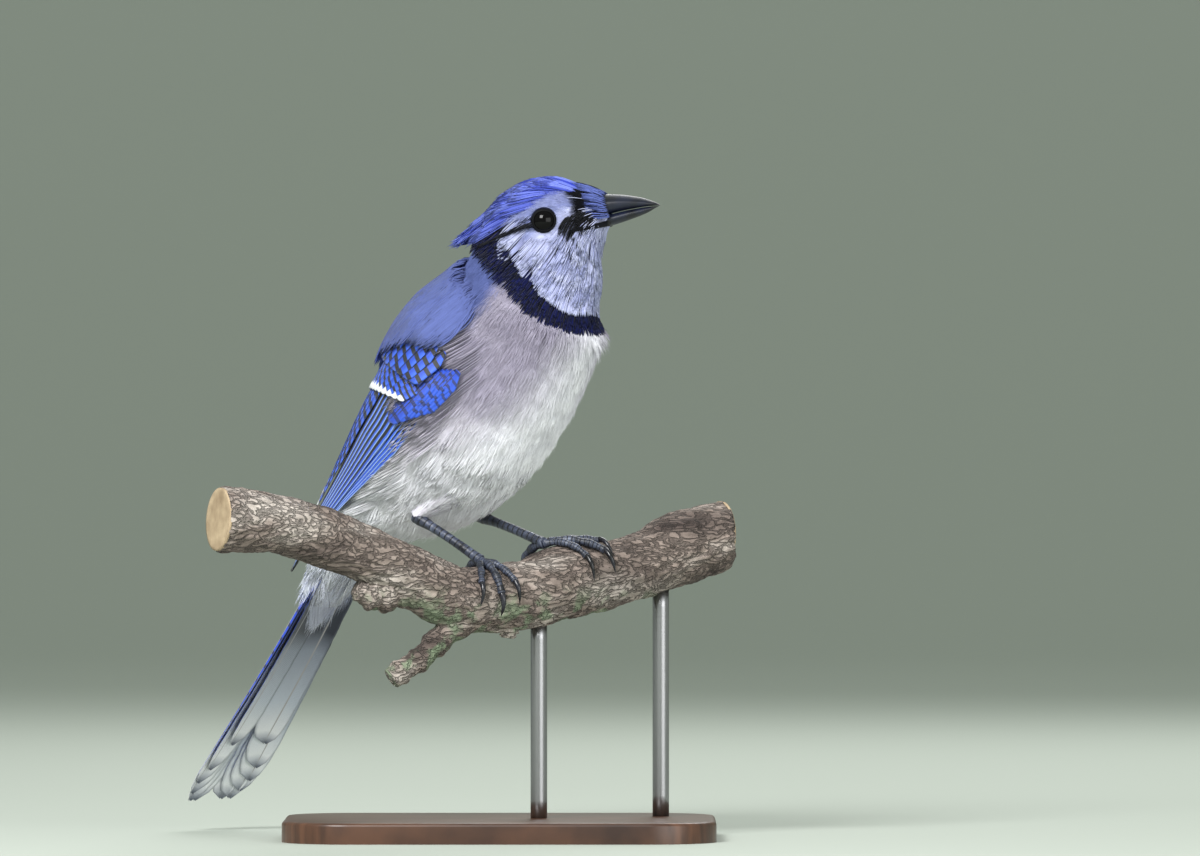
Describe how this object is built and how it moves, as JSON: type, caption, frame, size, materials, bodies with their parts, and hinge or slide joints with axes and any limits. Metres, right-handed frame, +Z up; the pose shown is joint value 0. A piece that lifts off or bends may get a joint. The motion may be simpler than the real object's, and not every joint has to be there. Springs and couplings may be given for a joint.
{
  "type": "blue jay on a perch",
  "caption": "Still life-size blue jay with a laid-back crest and folded wings, gripping a short cut branch that is held on a plain flat stand.",
  "frame": {"origin": "centre of the stand base's underside", "axes": "+X to the bird's side of view, the way its head looks; +Y away from the viewer; +Z up"},
  "size_m": [0.2156, 0.1716, 0.2542],
  "materials": {
    "belly_feather": "soft plumage",
    "blue_feather": "soft plumage",
    "wing_feather": "firm flight feathers",
    "bill_horn": "satin horn",
    "eye_dark": "wet gloss",
    "leg_scale": "scaled skin",
    "claw_horn": "polished horn",
    "bark": "rough bark",
    "stand_wood": "satin varnish",
    "stand_steel": "brushed"
  },
  "bodies": {
    "root": {"torso": "belly_feather", "thigh_left": "belly_feather", "thigh_right": "belly_feather", "neck": "blue_feather", "head": "blue_feather", "wing_left": "wing_feather", "wing_right": "wing_feather", "tail": "wing_feather", "bill_upper": "bill_horn", "bill_lower": "bill_horn", "eye_left": "eye_dark", "eye_right": "eye_dark", "leg_left": "leg_scale", "leg_right": "leg_scale", "claw_inner_left": "claw_horn", "claw_inner_right": "claw_horn", "claw_middle_left": "claw_horn", "claw_middle_right": "claw_horn", "claw_outer_left": "claw_horn", "claw_outer_right": "claw_horn", "claw_hind_left": "claw_horn", "claw_hind_right": "claw_horn", "perch_branch": "bark", "stand_base": "stand_wood", "stand_rod_1": "stand_steel", "stand_rod_2": "stand_steel"}
  },
  "joints": []
}
